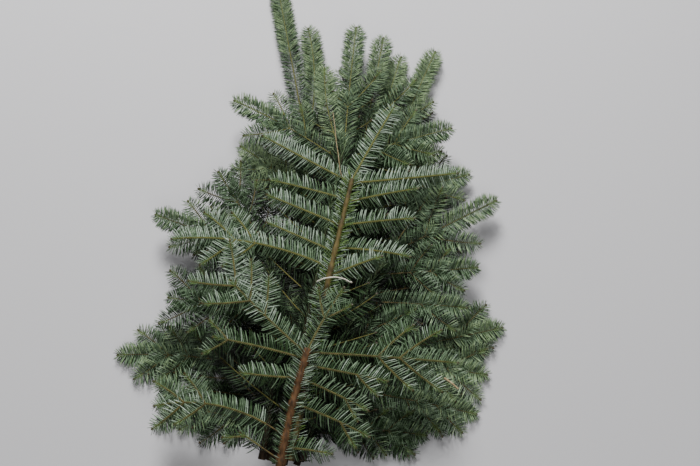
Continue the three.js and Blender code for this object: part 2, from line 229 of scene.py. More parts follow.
# A side shoot ends where it would come too near to another spray or a limb, or is skipped
def keepRoom(grown):
    shoots = [one for each in grown for one in each["shoots"]]
    kept = [one for one in shoots if one["rank"] == 0]
    for one in [each for each in shoots if each["rank"] > 0]:
        axis = one["axis"]
        points = []
        for other in kept:
            if other["spray"] != one["spray"] and other["axis"].layer == axis.layer:
                points += other["axis"].look()
        for each in grown:
            if each["limb"].layer == axis.layer:
                points += each["limb"].look()
        along = 0
        while along < axis.length:
            x, y = axis.planAt(along + fan["lookStep"])
            if min(math.hypot(x - px, y - py) for px, py in points) < fan["nearest"]:
                break
            along += fan["lookStep"]
        if along >= fan["shortest"]:
            axis.turn *= min(1, along / axis.length)
            axis.length = min(axis.length, along)
            kept.append(one)
    for each in grown:
        each["shoots"] = [one for one in each["shoots"] if one in kept]


# Finer twigs fill a bough between its sprays: along its limb, and along its main shoots, where
# they hang below the side shoots. They get shorter towards the end of the line they stand on
filling = {
    "limb": {"first": 60, "spacing": 20, "angle": 60, "length": 150, "endLength": 84, "nearest": 10,
             "rise": 0},
    "shoot": {"first": 26, "spacing": 21, "angle": 52, "length": 70, "endLength": 44, "nearest": 0,
              "rise": -11},
    "angleSpread": 10,
    "lengthSpread": 0.22,
    "riseSpread": 7,
    "innerShare": 0.45,    # only this inner part of a shoot carries filling
    "further": {"left_lower": (0.6, 14), "right_lower": (0.78, 21)},   # here it goes further out
    "bare": ("crown_left_spray_tip", "crown_left_spray_right_1"),      # these stand alone
    "turn": 8,
    "turnSpread": 12,
    "clearStart": 16,      # a filling twig is tried against its neighbours from here on
    "ownStart": 2,         # and they don't count these first points of it, beside its carrier
    "shortest": 28,
}


# How far a filling twig gets before it comes too near to what already lies in its layer
def roomFor(axis, others, nearest):
    reach = 0
    while reach < axis.length:
        x, y = axis.planAt(reach + fan["lookStep"])
        near = min(math.hypot(x - px, y - py) for px, py in others) < nearest
        if reach > filling["clearStart"] and near:
            break
        reach += fan["lookStep"]
    return min(axis.length, reach)


def fillTwigs(grown):
    points = {}
    for each in grown:
        for one in each["shoots"]:
            points.setdefault(one["axis"].layer, []).extend(one["axis"].look())
    for number, each in enumerate(grown):
        if each["limb"].layer >= heap["frontLayer"]:
            continue
        dice = Dice(seeds["filling"] * (number + 1))
        others = points[each["limb"].layer]
        carriers = [(each["limb"], "limb", each["limb"].length)]
        usual = (filling["innerShare"], filling["shoot"]["spacing"])
        inner, shootSpacing = filling["further"].get(each["bough"]["name"], usual)
        carriers += [(one["axis"], "shoot", one["axis"].length * inner) for one in each["shoots"]
                     if one["rank"] == 0 and one["spray"] not in filling["bare"]]
        for carrier, kind, last in carriers:
            rule = filling[kind]
            spacing = shootSpacing if kind == "shoot" else rule["spacing"]
            for step in range(max(0, math.ceil((last - rule["first"]) / spacing))):
                side = -1 if step % 2 else 1
                along = rule["first"] + spacing * step
                share = along / carrier.length
                length = rule["length"] + (rule["endLength"] - rule["length"]) * share
                length *= 1 + dice.spread(filling["lengthSpread"])
                angle = rule["angle"] + dice.spread(filling["angleSpread"])
                heading = carrier.headingAt(along) + side * angle
                turn = -side * filling["turn"] + dice.spread(filling["turnSpread"])
                axis = Axis(carrier.planAt(along), heading, length, turn, carrier.layer)
                axis.rise = rule["rise"] + dice.spread(filling["riseSpread"])
                reach = roomFor(axis, others, rule["nearest"])
                if reach < filling["shortest"]:
                    continue
                axis.turn *= reach / length
                axis.length = reach
                each["shoots"].append({"spray": "filling", "axis": axis, "rank": 2})
                others.extend(axis.look()[filling["ownStart"]:])


# The solid stems are made of straight pieces with flat sides
solidStem = {"piece": 50, "sides": 8}


# Where a bough came to rest, from its solid stem: the shift from the rule's frame to this one
def restingShift(each):
    bough, limb = each["bough"], each["limb"]
    lowest = Vector((math.inf,) * 3)
    steps = math.ceil(limb.length / solidStem["piece"])
    for step in range(steps + 1):
        share = step / steps
        radius = bough["radius"][0] + (bough["radius"][1] - bough["radius"][0]) * share
        for corner in range(solidStem["sides"]):
            angle = 2 * math.pi * corner / solidStem["sides"]
            point = limb.pointAt(share * limb.length, radius * math.sin(angle), radius * math.cos(angle))
            lowest = Vector(map(min, lowest, point))
    return Vector(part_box(f"{bough['name']}_stem")[0]) - lowest * mm


grown = [growBough(bough, number) for number, bough in enumerate(boughs)]
keepRoom(grown)
fillTwigs(grown)
for each in grown:
    each["shift"] = restingShift(each)
print("grown:", sum(len(each["shoots"]) for each in grown), "shoots")


# Adds a node with its settings, and sets its inputs or links them to a socket or a node
def addNode(tree, kind, settings=None, inputs=None):
    node = tree.nodes.new(kind)
    for name, value in (settings or {}).items():
        setattr(node, name, value)
    for key, value in (inputs or {}).items():
        if isinstance(value, bpy.types.Node):
            value = next(socket for socket in value.outputs if socket.enabled)
        if isinstance(value, bpy.types.NodeSocket):
            tree.links.new(value, node.inputs[key])
        else:
            node.inputs[key].default_value = value
    return node


def linear(hexColour):
    parts = [int(hexColour[start:start + 2], 16) / 255 for start in (0, 2, 4)]
    return [part / 12.92 if part <= 0.04045 else ((part + 0.055) / 1.055) ** 2.4 for part in parts] + [1]


# How the mottle and the relief of every surface are drawn
grain = {"detail": 3, "roughness": 0.6, "darkBelow": 0.32, "lightAbove": 0.68, "bumpStrength": 0.6}


# A material of two colours in a mottle, which is what wax, bark and fibre all show from here. The
# mottle's size is in millimetres, and is drawn as coarse as it needs to show at this distance
def newMaterial(name, colours, mottle, roughness, specular, bump=0.0, stretch=(1, 1, 1)):
    material = bpy.data.materials.new(name)
    material.use_nodes = True
    tree = material.node_tree
    shader = tree.nodes["Principled BSDF"]
    shader.inputs["Roughness"].default_value = roughness
    shader.inputs["Specular IOR Level"].default_value = specular
    place = addNode(tree, "ShaderNodeTexCoord").outputs["Object"]
    drawn = addNode(tree, "ShaderNodeMapping", {}, {"Vector": place, "Scale": stretch})
    noise = addNode(tree, "ShaderNodeTexNoise", {}, {
        "Vector": drawn, "Scale": 1 / (mottle * mm), "Detail": grain["detail"],
        "Roughness": grain["roughness"]})
    sharper = addNode(tree, "ShaderNodeMapRange", {}, {
        "Value": noise, "From Min": grain["darkBelow"], "From Max": grain["lightAbove"]})
    mix = addNode(tree, "ShaderNodeMix", {"data_type": "RGBA"}, {
        0: sharper, 6: linear(colours[0]), 7: linear(colours[1])})
    tree.links.new(mix.outputs[2], shader.inputs["Base Color"])
    if bump:
        relief = addNode(tree, "ShaderNodeBump", {}, {
            "Height": noise, "Strength": grain["bumpStrength"], "Distance": bump * mm})
        tree.links.new(relief.outputs[0], shader.inputs["Normal"])
    return material


# Living fir needles under their own wax. The bloom scatters light, so they look satin and
# bluish grey where it is thick, and plain green where it has been rubbed off or was thin
needleWax = {"mottle": 9, "roughness": 0.46, "specular": 0.35}
bloomNeedle = newMaterial("thickBloomNeedle", ("637562", "b1c1ae"), **needleWax)
sheenNeedle = newMaterial("upperSideNeedle", ("586e47", "a1b78c"), **needleWax)
freshNeedle = newMaterial("youngTipNeedle", ("3c5426", "6f8c4a"), **needleWax)
greyNeedle = newMaterial("greyBloomNeedle", ("43583d", "788e71"), **needleWax)
greenNeedle = newMaterial("thinBloomNeedle", ("20341c", "3e5436"), **needleWax)
# Older inner needles are darker green; this near black is also painted shade in the gaps between the sprays
oldNeedlePaintedShade = newMaterial("oldInnerNeedlePaintedShade", ("080d05", "121a0c"), **needleWax)
# The foot of a needle has no wax and shows its yellow green, smooth and a little glossy
needleFoot = newMaterial("bareNeedleFoot", ("4c5830", "707b46"), 7, 0.5, 0.3)

# Patterns and relief on bark are longer along the boughs than across them
alongLimb = (1, 0.35, 1)
reliefAlongLimb = (1, 0.4, 1)
# Bark of this year's twigs, olive and finely downed, so it has hardly any shine
youngBark = newMaterial("downyTwigBark", ("6e6b38", "504e29"), 3, 0.85, 0.2, bump=0.2)
# Smooth young fir bark on the lower front limb, warm brown, with streaks along it and low blisters
limbBark = newMaterial("blisteredFirBark", ("614326", "2d1e0d"), 4, 0.72, 0.3, bump=0.8,
                       stretch=alongLimb)
# A year younger and still olive: the upper front limb, and the twigs that look darker
youngLimbBark = newMaterial("oliveFirBark", ("60532b", "322a16"), 6, 0.75, 0.3, bump=0.5,
                            stretch=alongLimb)
# The same bark on the boughs behind, a year or two older and dull brown, kept this dark partly as painted
# shade between the sprays
olderBarkPaintedShade = newMaterial("dullFirBarkPaintedShade", ("35281b", "1b140d"), 5, 0.8, 0.2, bump=0.5,
                        stretch=alongLimb)
# End grain sawn through a green limb: pale and matt
cutWood = newMaterial("freshSawnEndGrain", ("dcc79a", "b99c68"), 2, 0.8, 0.25, bump=0.15)
# Bud scales stuck together by clear resin, which makes them glossy
budResin = newMaterial("resinousBudScale", ("493a21", "2f2513"), 2, 0.5, 0.35)
# A dead twig that has lost its bark, dry and bleached
dryWood = newMaterial("bleachedDeadTwig", ("b7a585", "8d7753"), 4, 0.85, 0.2, bump=0.2)
# Undyed twine: twisted plant fibre, matt, and a little dirty in places
twineFibre = newMaterial("undyedTwine", ("e9e5d8", "c9c1ad"), 3, 0.9, 0.2, bump=0.2)
print("materials made")


# One needle at full length: a thin keeled blade with three sides and a short point. It bends away
# from the twig above its foot and curves forwards again. Its parts give the share of its length,
# the way they point, off the way it leans, and their width at the end
needle = {
    "length": 25,
    "width": 1.65,
    "thickness": 0.8,
    "edgeDrop": 0.5,       # its edges lie lower than its middle, by this share of half its thickness
    "finely": ((0.07, 8, 0.8), (0.37, 31, 1), (0.42, 27, 0.85), (0.14, 19, 0)),
    "plainly": ((0.62, 27, 1), (0.38, 19, 0)),
    "footWidth": 0.38,
    "bareFoot": 0.12,      # a foot this short has its own colour
    "arch": 1.6,           # how much higher its middle is than its ends
    "lowest": 0.4,         # a needle that would dip below this height lies on the ground
}


# Joins rings of corners, in millimetres, into a closed shape whose last ring is a single point.
# Gives back the faces between each ring and the next
def joinRings(build, rings):
    rings = [[build.verts.new(place * mm) for place in ring] for ring in rings]
    build.faces.new(rings[0])
    bands = []
    for lower, upper in zip(rings, rings[1:]):
        band = []
        for corner in range(len(lower)):
            after = (corner + 1) % len(lower)
            far = (upper[0],) if len(upper) == 1 else (upper[corner], upper[after])
            band.append(build.faces.new((lower[corner], *far, lower[after])))
        bands.append(band)
    return bands


def makeShape(name, build):
    bmesh.ops.recalc_face_normals(build, faces=build.faces)
    mesh = bpy.data.meshes.new(name)
    build.to_mesh(mesh)
    build.free()
    return bpy.data.objects.new(name, mesh)


def makeNeedle(name, parts, side):
    build = bmesh.new()
    foot = build.faces.layers.int.new("foot")
    centre = Vector((0, 0, 0))
    wide, along, turned = needle["footWidth"], 0, parts[0][1]
    rings = []
    for share, nextTurned, nextWide in parts:
        middle = math.radians((turned + nextTurned) / 2)
        across = Vector((math.cos(middle), -side * math.sin(middle), 0)) * needle["width"] / 2 * wide
        keel = Vector((0, 0, needle["thickness"] / 2 * wide))
        edge = keel * needle["edgeDrop"]
        lifted = centre + Vector((0, 0, needle["arch"] * math.sin(math.pi * along)))
        rings.append((lifted - across - edge, lifted + keel, lifted + across - edge))
        way = math.radians(nextTurned)
        centre = centre + Vector((side * math.sin(way), math.cos(way), 0)) * needle["length"] * share
        along += share
        turned, wide = nextTurned, nextWide
    bands = joinRings(build, rings + [(centre,)])
    if parts[0][0] <= needle["bareFoot"]:
        for face in bands[0]:
            face[foot] = 1
    return makeShape(name, build)


# The front boughs get the finer one, since they are seen from nearest
needleShapes = {
    "front": [makeNeedle(f"fineNeedle{side}", needle["finely"], side) for side in (1, -1)],
    "brush": [makeNeedle(f"plainNeedle{side}", needle["plainly"], side) for side in (1, -1)],
}

# How needles stand round a line. Angles start at the side that faces up: the front boughs show
# flat undersides with the twig bare between the rows, the others a rounder brush. A needle's foot
# sits at a share, root, of the angle at which it points. A higher tone is darker, and keep is the
# share of the needles that grow
standing = {
    "front": {"open": 76, "back": 152, "root": 0.34, "lean": 39, "size": 1, "tone": 0, "keep": 1},
    "brush": {"open": 52, "back": 140, "root": 0.45, "lean": 46, "size": 1.05, "tone": 0.2, "keep": 1},
    # The filling's high tone is partly older inner needles and partly painted shade under the sprays
    "filling": {"open": 44, "back": 140, "root": 0.5, "lean": 32, "size": 1, "tone": 2.1, "keep": 0.52},
    "lowFilling": {"open": 44, "back": 140, "root": 0.5, "lean": 32, "size": 1, "tone": 1, "keep": 0.85},
    "tuft": {"open": 0, "back": 160, "root": 0.8, "lean": 12, "size": 0.42, "tone": -3.6, "keep": 1},
    "limb": {"open": 42, "back": 106, "root": 0.6, "lean": 38, "size": 0.85, "keep": 0.95},
    "hidden": {"open": 0, "back": 90, "root": 0.6, "lean": 30, "size": 1.25, "keep": 1.6},
}
# The ranks on each side of a twig: how many, how close in millimetres, how much darker the last one
# is as painted shade under the twig, and how much further down the needles on the butt side point
ranks = {
    "front": {"count": 2, "spacing": 0.86, "depth": 3.2, "hang": 30},
    "brush": {"count": 3, "spacing": 0.56, "depth": 3.7, "hang": 20},
}
# Tones from the lightest to the darkest, and where between them each colour begins
shades = {
    "lightest": -4,
    "freshBelow": -1,
    "grey": 1,
    "green": 2,
    "old": 3,
    "paintedHangShade": 1.3,        # painted shade: how much darker a needle gets for each radian that it hangs
    "spread": 0.5,         # between one spray and another
}
# How far single needles differ, in the order in which they are drawn
chances = {
    "rank": (0.1, 0.9),
    "lean": (-0.17, 0.17),
    "size": (0.9, 1.06),
    "tone": (-0.35, 0.65),
    "keep": (0.0, 1.0),
}


def newTree(name, inputs):
    tree = bpy.data.node_groups.new(name, "GeometryNodeTree")
    tree.interface.new_socket("Geometry", in_out="INPUT", socket_type="NodeSocketGeometry")
    for label, kind in inputs.items():
        tree.interface.new_socket(label, in_out="INPUT", socket_type="NodeSocket" + kind)
    tree.interface.new_socket("Geometry", in_out="OUTPUT", socket_type="NodeSocketGeometry")
    return tree, addNode(tree, "NodeGroupInput").outputs


# Runs a tree on a mesh of lines and keeps what it made as a plain mesh
def runTree(piece, tree, values):
    modifier = piece.modifiers.new("growth", "NODES")
    modifier.node_group = tree
    for item in tree.interface.items_tree:
        if item.item_type == "SOCKET" and item.in_out == "INPUT" and item.name in values:
            modifier[item.identifier] = values[item.name]
    bpy.context.view_layer.update()
    depsgraph = bpy.context.evaluated_depsgraph_get()
    mesh = bpy.data.meshes.new_from_object(piece.evaluated_get(depsgraph))
    piece.modifiers.remove(modifier)
    old = piece.data
    piece.data = mesh
    bpy.data.meshes.remove(old)


# Needles on both sides of each line by turns, rank after rank. Each points away from the twig and
# leans forwards along it
def needleTree():
    tree, given = newTree("needlesOnTwigs", {
        "Spacing": "Float", "Ranks": "Float", "Depth": "Float", "Seed": "Int", "Right needle": "Object",
        "Left needle": "Object", "Bloom": "Material", "Grey": "Material", "Green": "Material",
        "Old": "Material", "Fresh": "Material", "Foot": "Material"})
    read = {name: addNode(tree, "GeometryNodeInputNamedAttribute", {"data_type": kind}, {"Name": name})
            for name, kind in (
                ("along", "FLOAT_VECTOR"), ("upwards", "FLOAT_VECTOR"), ("open", "FLOAT"),
                ("back", "FLOAT"), ("root", "FLOAT"), ("lean", "FLOAT"), ("size", "FLOAT"),
                ("thickness", "FLOAT"), ("tone", "FLOAT"), ("keep", "FLOAT"), ("hang", "FLOAT"),
                ("shade", "INT"), ("foot", "INT"))}
    curves = addNode(tree, "GeometryNodeMeshToCurve", {}, {"Mesh": given["Geometry"]})
    points = addNode(tree, "GeometryNodeCurveToPoints", {"mode": "LENGTH"}, {
        "Curve": curves, "Length": given["Spacing"]})
    directed = addNode(tree, "GeometryNodeStoreNamedAttribute", {"data_type": "FLOAT_VECTOR"}, {
        "Geometry": points, "Name": "along", "Value": points.outputs["Tangent"]})

    index = addNode(tree, "GeometryNodeInputIndex")
    identity = addNode(tree, "ShaderNodeMath", {"operation": "MULTIPLY_ADD"}, {
        0: given["Seed"], 1: seeds["needles"], 2: index})
    chance = {name: addNode(tree, "FunctionNodeRandomValue", {"data_type": "FLOAT"}, {
        2: low, 3: high, "ID": identity, "Seed": number})
        for number, (name, (low, high)) in enumerate(chances.items())}
    parity = addNode(tree, "ShaderNodeMath", {"operation": "MODULO"}, {0: index, 1: 2.0})
    side = addNode(tree, "ShaderNodeMath", {"operation": "MULTIPLY_ADD"}, {0: parity, 1: 2.0, 2: -1.0})
    half = addNode(tree, "ShaderNodeMath", {"operation": "MULTIPLY"}, {0: index, 1: 0.5})
    pair = addNode(tree, "ShaderNodeMath", {"operation": "FLOOR"}, {0: half})
    rank = addNode(tree, "ShaderNodeMath", {"operation": "MODULO"}, {0: pair, 1: given["Ranks"]})
    moved = addNode(tree, "ShaderNodeMath", {"operation": "ADD"}, {0: rank, 1: chance["rank"]})
    share = addNode(tree, "ShaderNodeMath", {"operation": "DIVIDE"}, {0: moved, 1: given["Ranks"]})
    spread = addNode(tree, "ShaderNodeMapRange", {}, {
        "Value": share, "To Min": read["open"], "To Max": read["back"]})
    # Only the needles on one side of the twig hang
    either = addNode(tree, "ShaderNodeMath", {"operation": "MULTIPLY"}, {0: read["hang"], 1: side})
    hung = addNode(tree, "ShaderNodeMath", {"operation": "MAXIMUM"}, {0: either, 1: 0.0})
    off = addNode(tree, "ShaderNodeMath", {"operation": "ADD"}, {0: spread, 1: hung})
    around = addNode(tree, "ShaderNodeMath", {"operation": "MULTIPLY"}, {0: off, 1: side})
    rootAround = addNode(tree, "ShaderNodeMath", {"operation": "MULTIPLY"}, {
        0: around, 1: read["root"]})

    outward = addNode(tree, "ShaderNodeVectorRotate", {}, {
        "Vector": read["upwards"], "Axis": read["along"], "Angle": around})
    rootWay = addNode(tree, "ShaderNodeVectorRotate", {}, {
        "Vector": read["upwards"], "Axis": read["along"], "Angle": rootAround})
    hinge = addNode(tree, "ShaderNodeVectorMath", {"operation": "CROSS_PRODUCT"}, {
        0: read["along"], 1: outward})
    lean = addNode(tree, "ShaderNodeMath", {"operation": "ADD"}, {0: read["lean"], 1: chance["lean"]})
    way = addNode(tree, "ShaderNodeVectorRotate", {}, {
        "Vector": read["along"], "Axis": hinge, "Angle": lean})
    turned = addNode(tree, "ShaderNodeMath", {"operation": "MULTIPLY"}, {0: side, 1: -1.0})
    face = addNode(tree, "ShaderNodeVectorMath", {"operation": "SCALE"}, {0: hinge, "Scale": turned})
    rotation = addNode(tree, "FunctionNodeAxesToRotation", {"primary_axis": "Y", "secondary_axis": "Z"}, {
        0: way, 1: face})
    size = addNode(tree, "ShaderNodeMath", {"operation": "MULTIPLY"}, {
        0: read["size"], 1: chance["size"]})
    kept = addNode(tree, "FunctionNodeCompare", {"data_type": "FLOAT", "operation": "LESS_THAN"}, {
        0: chance["keep"], 1: read["keep"]})
    isRight = addNode(tree, "FunctionNodeCompare", {"data_type": "FLOAT", "operation": "GREATER_THAN"}, {
        0: side, 1: 0.0})
    right = addNode(tree, "FunctionNodeBooleanMath", {"operation": "AND"}, {0: kept, 1: isRight})
    left = addNode(tree, "FunctionNodeBooleanMath", {"operation": "NIMPLY"}, {0: kept, 1: isRight})

    rootStep = addNode(tree, "ShaderNodeVectorMath", {"operation": "SCALE"}, {
        0: rootWay, "Scale": read["thickness"]})
    rooted = addNode(tree, "GeometryNodeSetPosition", {}, {"Geometry": directed, "Offset": rootStep})
    # The ranks further round the twig get darker: painted shade under the twig
    behind = addNode(tree, "ShaderNodeMath", {"operation": "MULTIPLY_ADD"}, {
        0: share, 1: given["Depth"], 2: chance["tone"]})
    # Needles that hang on the butt side get painted shade as well
    shaded = addNode(tree, "ShaderNodeMath", {"operation": "MULTIPLY_ADD"}, {
        0: hung, 1: shades["paintedHangShade"], 2: behind})
    tone = addNode(tree, "ShaderNodeMath", {"operation": "ADD"}, {0: read["tone"], 1: shaded})
    whole = addNode(tree, "ShaderNodeMath", {"operation": "FLOOR"}, {0: tone})
    shade = addNode(tree, "ShaderNodeClamp", {}, {
        "Value": whole, "Min": shades["lightest"], "Max": shades["old"]})
    marked = addNode(tree, "GeometryNodeStoreNamedAttribute", {"data_type": "INT"}, {
        "Geometry": rooted, "Name": "shade", "Value": shade})

    both = addNode(tree, "GeometryNodeJoinGeometry")
    for chosen, source in ((right, "Right needle"), (left, "Left needle")):
        shape = addNode(tree, "GeometryNodeObjectInfo", {}, {"Object": given[source]})
        put = addNode(tree, "GeometryNodeInstanceOnPoints", {}, {
            "Points": marked, "Selection": chosen, "Instance": shape.outputs["Geometry"],
            "Rotation": rotation, "Scale": size})
        tree.links.new(put.outputs[0], both.inputs[0])
    real = addNode(tree, "GeometryNodeRealizeInstances", {}, {0: both})
    place = addNode(tree, "ShaderNodeSeparateXYZ", {}, {0: addNode(tree, "GeometryNodeInputPosition")})
    height = addNode(tree, "ShaderNodeMath", {"operation": "MAXIMUM"}, {
        0: place.outputs[2], 1: needle["lowest"] * mm})
    raised = addNode(tree, "ShaderNodeCombineXYZ", {}, {
        0: place.outputs[0], 1: place.outputs[1], 2: height})
    last = addNode(tree, "GeometryNodeSetPosition", {}, {"Geometry": real, "Position": raised})
    last = addNode(tree, "GeometryNodeSetMaterial", {}, {0: last, "Material": given["Bloom"]})
    for label, operation, number in (
            ("Grey", "EQUAL", shades["grey"]), ("Green", "EQUAL", shades["green"]),
            ("Old", "EQUAL", shades["old"]), ("Fresh", "LESS_THAN", shades["freshBelow"])):
        chosen = addNode(tree, "FunctionNodeCompare", {"data_type": "INT", "operation": operation}, {
            2: read["shade"], 3: number})
        last = addNode(tree, "GeometryNodeSetMaterial", {}, {
            0: last, "Selection": chosen, "Material": given[label]})
    isFoot = addNode(tree, "FunctionNodeCompare", {"data_type": "INT", "operation": "EQUAL"}, {
        2: read["foot"], 3: 1})
    last = addNode(tree, "GeometryNodeSetMaterial", {}, {
        0: last, "Selection": isFoot, "Material": given["Foot"]})
    addNode(tree, "NodeGroupOutput", {}, {0: last})
    return tree


# Round wood along each line, with relief all over its bark, and its ends flat and in their own
# material
def woodTree():
    tree, given = newTree("woodAlongLines", {
        "Sides": "Int", "Relief": "Float", "Relief length": "Float", "Bark": "Material", "Cut": "Material"})
    curves = addNode(tree, "GeometryNodeMeshToCurve", {}, {"Mesh": given["Geometry"]})
    radius = addNode(tree, "GeometryNodeInputNamedAttribute", {"data_type": "FLOAT"}, {"Name": "thickness"})
    section = addNode(tree, "GeometryNodeCurvePrimitiveCircle", {"mode": "RADIUS"}, {
        "Resolution": given["Sides"], "Radius": 1.0})
    tube = addNode(tree, "GeometryNodeCurveToMesh", {}, {
        "Curve": curves, "Profile Curve": section, "Scale": radius, "Fill Caps": True})
    drawn = addNode(tree, "ShaderNodeVectorMath", {"operation": "MULTIPLY"}, {
        0: addNode(tree, "GeometryNodeInputPosition"), 1: reliefAlongLimb})
    often = addNode(tree, "ShaderNodeMath", {"operation": "DIVIDE"}, {0: 1.0, 1: given["Relief length"]})
    noise = addNode(tree, "ShaderNodeTexNoise", {}, {
        "Vector": drawn, "Scale": often, "Detail": grain["detail"], "Roughness": grain["roughness"]})
    centred = addNode(tree, "ShaderNodeMath", {"operation": "SUBTRACT"}, {0: noise, 1: 0.5})
    depth = addNode(tree, "ShaderNodeMath", {"operation": "MULTIPLY"}, {0: centred, 1: given["Relief"]})
    step = addNode(tree, "ShaderNodeVectorMath", {"operation": "SCALE"}, {
        0: addNode(tree, "GeometryNodeInputNormal"), "Scale": depth})
    rough = addNode(tree, "GeometryNodeSetPosition", {}, {"Geometry": tube, "Offset": step})
    # A face with more than four corners is an end
    corners = addNode(tree, "GeometryNodeInputMeshFaceNeighbors")
    isEnd = addNode(tree, "FunctionNodeCompare", {"data_type": "INT", "operation": "GREATER_THAN"}, {
        2: corners, 3: 4})
    isBark = addNode(tree, "FunctionNodeBooleanMath", {"operation": "NOT"}, {0: isEnd})
    smooth = addNode(tree, "GeometryNodeSetShadeSmooth", {}, {0: rough, "Shade Smooth": isBark})
    real = addNode(tree, "GeometryNodeRealizeInstances", {}, {0: smooth})
    painted = addNode(tree, "GeometryNodeSetMaterial", {}, {0: real, "Material": given["Bark"]})
    ended = addNode(tree, "GeometryNodeSetMaterial", {}, {
        0: painted, "Selection": isEnd, "Material": given["Cut"]})
    addNode(tree, "NodeGroupOutput", {}, {0: ended})
    return tree


# A cluster of buds at the end of each line
def budTree():
    tree, given = newTree("budsAtTips", {"Bud": "Object", "Scale": "Material"})
    curves = addNode(tree, "GeometryNodeMeshToCurve", {}, {"Mesh": given["Geometry"]})
    ends = addNode(tree, "GeometryNodeCurveEndpointSelection", {}, {"Start Size": 0, "End Size": 1})
    up = addNode(tree, "GeometryNodeInputNamedAttribute", {"data_type": "FLOAT_VECTOR"}, {
        "Name": "upwards"})
    rotation = addNode(tree, "FunctionNodeAxesToRotation", {"primary_axis": "Y", "secondary_axis": "Z"}, {
        0: addNode(tree, "GeometryNodeInputTangent"), 1: up})
    shape = addNode(tree, "GeometryNodeObjectInfo", {}, {"Object": given["Bud"]})
    put = addNode(tree, "GeometryNodeInstanceOnPoints", {}, {
        "Points": curves, "Selection": ends, "Instance": shape.outputs["Geometry"], "Rotation": rotation})
    real = addNode(tree, "GeometryNodeRealizeInstances", {}, {0: put})
    painted = addNode(tree, "GeometryNodeSetMaterial", {}, {0: real, "Material": given["Scale"]})
    addNode(tree, "NodeGroupOutput", {}, {0: painted})
    return tree


# A mesh of bare lines with the values that the trees read at each point
def lineMesh(name, lines):
    mesh = bpy.data.meshes.new(name)
    points, edges, values = [], [], {}
    for line in lines:
        first = len(points)
        points += line["points"]
        edges += [(first + step, first + step + 1) for step in range(len(line["points"]) - 1)]
        if line.get("closed"):
            edges.append((len(points) - 1, first))
        for key, column in line["values"].items():
            values.setdefault(key, []).extend(column)
    mesh.from_pydata(points, edges, [])
    for key, column in values.items():
        if isinstance(column[0], float):
            mesh.attributes.new(key, "FLOAT", "POINT").data.foreach_set("value", column)
        else:
            flat = [part for vector in column for part in vector]
            mesh.attributes.new(key, "FLOAT_VECTOR", "POINT").data.foreach_set("vector", flat)
    piece = bpy.data.objects.new(name, mesh)
    bpy.context.collection.objects.link(piece)
    return piece


# Three blunt buds: one straight on and two smaller ones beside it
bud = {
    "length": 5,
    "radius": 1.7,
    "sides": 5,
    "rings": ((0, 0.7), (0.35, 1), (0.75, 0.75)),      # how far along, how wide
    "sideShare": 0.75,
    "sideAngle": 48,
}


def makeBuds(name):
    build = bmesh.new()
    for side in (0, 1, -1):
        way = math.radians(side * bud["sideAngle"])
        share = bud["sideShare"] if side else 1
        ahead = Vector((math.sin(way), math.cos(way), 0))
        across = Vector((math.cos(way), -math.sin(way), 0))
        rings = []
        for along, wide in bud["rings"]:
            ring = []
            for corner in range(bud["sides"]):
                turn = 2 * math.pi * corner / bud["sides"]
                out = across * math.cos(turn) + Vector((0, 0, 1)) * math.sin(turn)
                ring.append(ahead * bud["length"] * share * along + out * bud["radius"] * share * wide)
            rings.append(ring)
        joinRings(build, rings + [(ahead * bud["length"] * share,)])
    return makeShape(name, build)


budCluster = makeBuds("budCluster")

# Two low shoots have lost the needles of their inner part
bareShare = {"front_lower_spray_left_5": 0.5, "front_lower_spray_left_4": 0.16}
twig = {
    "rootRadius": 1.4,
    "tipRadius": 0.7,
    "lowest": 2.6,         # no twig's line comes nearer to the ground
    "step": 6,
    "fewestSteps": 3,
    "tufts": (13, 19),     # more and shorter needles stand round these last lengths
    "outerShare": 0.45,    # and this last part of a main shoot behind has twice the needles
    "tipTaper": 20,        # needles get shorter over this last length
    "rootTaper": 14,       # and over this first one
    "tipSize": 0.5,
    "rootSize": 0.75,
    "tipClosing": 0.9,     # how much less they lean out at the very tip
    "freshTipPaintedShadeRoot": 0.8,        # how much lighter they are at the tip than at the root: fresh young needles at the tip, painted shade at the root
    "sides": 6,
    "relief": 0.3,
    "reliefLength": 2.5,
}


# A line along a shoot, or along its last part, with what needles and wood need at each point
def shootLine(axis, shift, way, tone, first=0, hang=0):
    steps = max(twig["fewestSteps"], math.ceil((axis.length - first) / twig["step"]))
    values = {key: [] for key in (
        "upwards", "open", "back", "root", "lean", "size", "thickness", "tone", "keep", "hang")}
    line = {"points": [], "values": values}
    for step in range(steps + 1):
        along = first + (axis.length - first) * step / steps
        before = min(along, axis.length - 1)
        ahead = axis.pointAt(before + 1) - axis.pointAt(before)
        sideways = ahead.cross(Vector((0, 0, 1))).normalized()
        nearTip = max(0, 1 - (axis.length - along) / twig["tipTaper"])
        nearRoot = max(0, 1 - along / twig["rootTaper"])
        size = way["size"] * (1 - (1 - twig["tipSize"]) * nearTip) * (1 - (1 - twig["rootSize"]) * nearRoot)
        radius = twig["rootRadius"] + (twig["tipRadius"] - twig["rootRadius"]) * along / axis.length
        place = axis.pointAt(along) * mm + shift
        line["points"].append(Vector((place.x, place.y, max(place.z, twig["lowest"] * mm))))
        values["upwards"].append(sideways.cross(ahead).normalized())
        values["hang"].append(math.radians(hang) * -sideways.y)   # more on shoots across the bunch
        values["open"].append(math.radians(way["open"]))
        values["back"].append(math.radians(way["back"]))
        values["root"].append(float(way["root"]))
        values["lean"].append(math.radians(way["lean"]) * (1 - twig["tipClosing"] * nearTip ** 2))
        values["size"].append(size)
        values["thickness"].append(radius * mm)
        values["tone"].append(tone + twig["freshTipPaintedShadeRoot"] * (0.5 - along / axis.length))
        values["keep"].append(float(way["keep"]))
    return line


